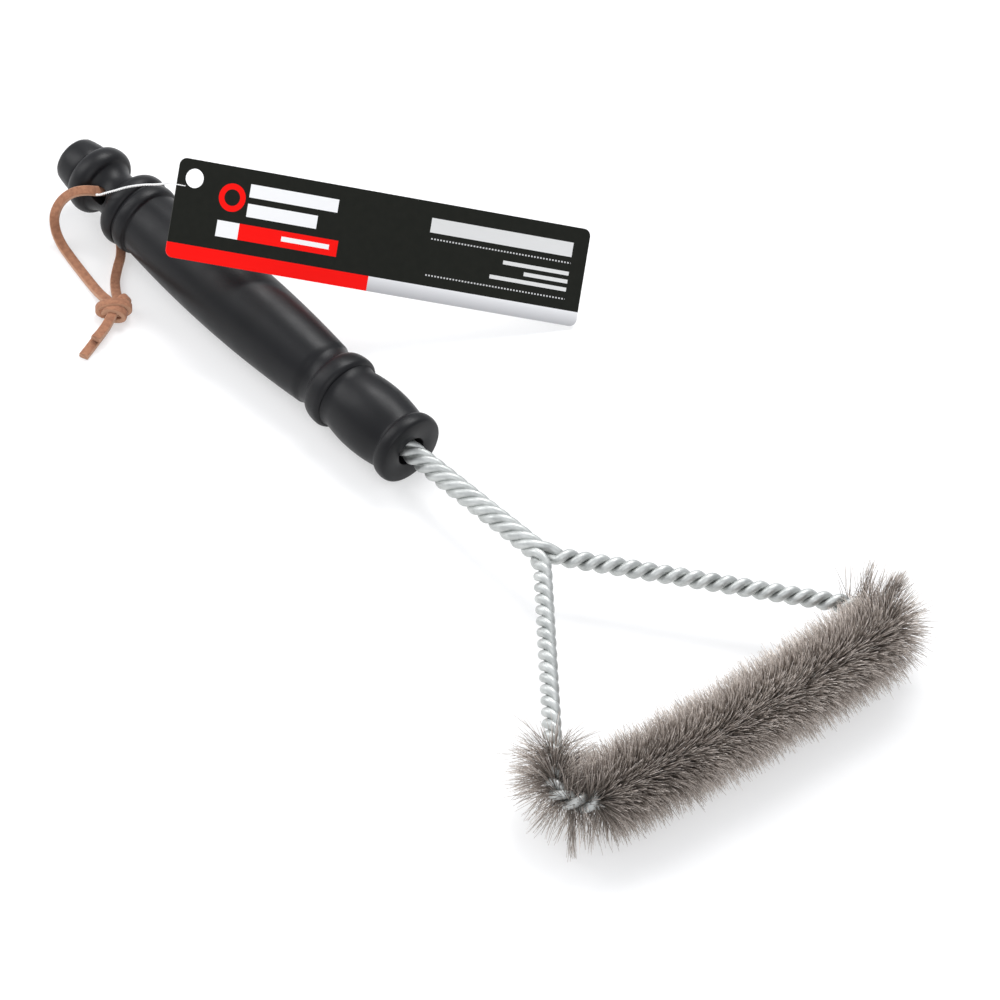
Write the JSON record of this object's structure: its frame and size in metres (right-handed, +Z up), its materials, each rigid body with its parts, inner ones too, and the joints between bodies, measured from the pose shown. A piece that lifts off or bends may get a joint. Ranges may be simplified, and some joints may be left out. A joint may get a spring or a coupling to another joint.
{
  "type": "grill cleaning brush",
  "caption": "Grill cleaning brush with a turned wooden handle, a twisted-wire triangle with steel bristles, a leather lanyard and a hang tag.",
  "frame": {"origin": "centre of the bottom of the brush's bounding box, on the surface it lies on", "axes": "+X from the handle's rear end towards the bristles, +Z up"},
  "size_m": [0.3499, 0.1976, 0.0636],
  "materials": {
    "painted_wood": "satin black paint",
    "adhesive": "set glue",
    "galvanised_wire": "galvanised",
    "steel_bristle": "drawn",
    "suede_lace": "suede",
    "cotton_string": "twisted",
    "printed_card": "semi-matt print"
  },
  "bodies": {
    "brush": {"handle": "painted_wood", "glue_sleeve": "adhesive", "core_wire_a": "galvanised_wire", "core_wire_b": "galvanised_wire", "bristles_base": "steel_bristle", "bristles_left_corner": "steel_bristle", "bristles_right_corner": "steel_bristle", "lanyard_near_leg": "suede_lace", "lanyard_far_leg": "suede_lace", "lanyard_knot": "suede_lace", "lanyard_long_tail": "suede_lace", "lanyard_short_tail": "suede_lace"},
    "tag": {"tag_string": "cotton_string", "hang_tag": "printed_card"}
  },
  "joints": [
    {"name": "tag_swing", "type": "hinge", "parent": "brush", "child": "tag", "pos_m": [-0.1523, -0.009, 0.0207], "axis": [1, 0, 0], "range_deg": [0, 60]}
  ]
}
